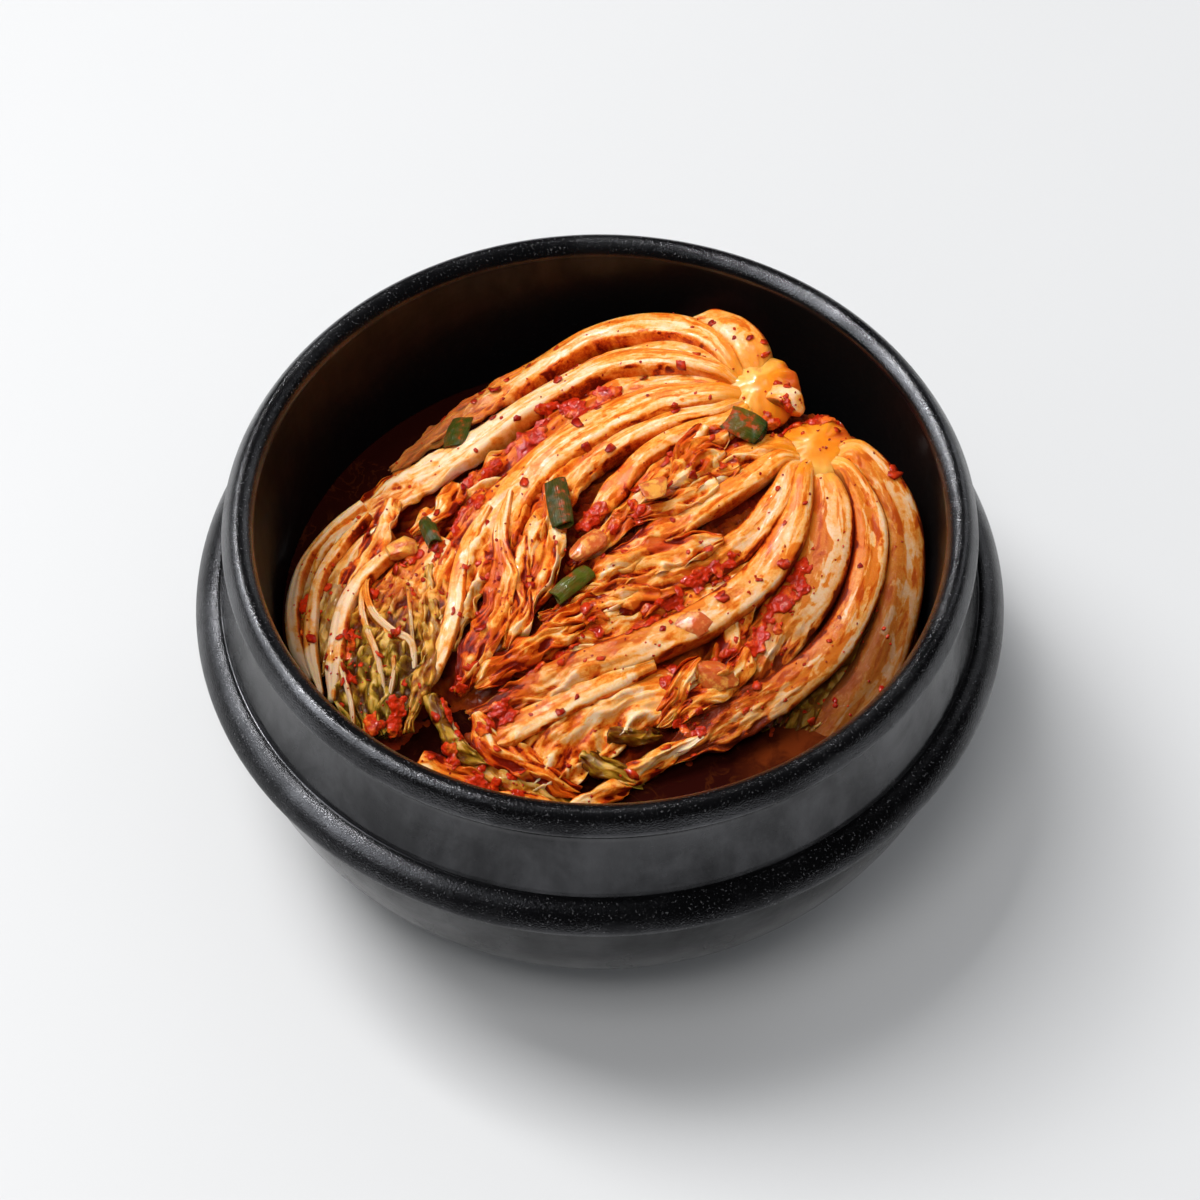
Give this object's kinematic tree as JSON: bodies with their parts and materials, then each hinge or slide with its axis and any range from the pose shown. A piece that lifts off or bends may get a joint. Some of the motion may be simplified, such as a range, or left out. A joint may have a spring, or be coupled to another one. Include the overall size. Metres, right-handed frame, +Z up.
{
  "type": "kimchi in a bowl",
  "caption": "Whole-cabbage kimchi folded into a round black earthenware bowl with a lifting ledge, in chilli brine with scallion and radish.",
  "frame": {"origin": "centre of the bowl's flat foot, on the surface it stands on", "axes": "+Z up through the mouth of the bowl; -Y towards the near side, away from the cabbage roots"},
  "size_m": [0.2368, 0.2368, 0.1099],
  "materials": {
    "earthenware": "black glaze, glossy inside and satin outside",
    "brine": "clear dark red chilli brine, wet",
    "cabbage": "wet salted cabbage, cream ribs and orange blades",
    "scallion": "wet green leaf",
    "radish": "wet, translucent, stained orange"
  },
  "bodies": {
    "root": {"bowl": "earthenware", "brine": "brine", "cabbage_left": "cabbage", "cabbage_right": "cabbage", "scallion_1": "scallion", "scallion_2": "scallion", "scallion_3": "scallion", "scallion_4": "scallion", "scallion_5": "scallion", "radish_1": "radish", "radish_2": "radish", "radish_3": "radish", "radish_4": "radish", "radish_5": "radish"}
  },
  "joints": []
}
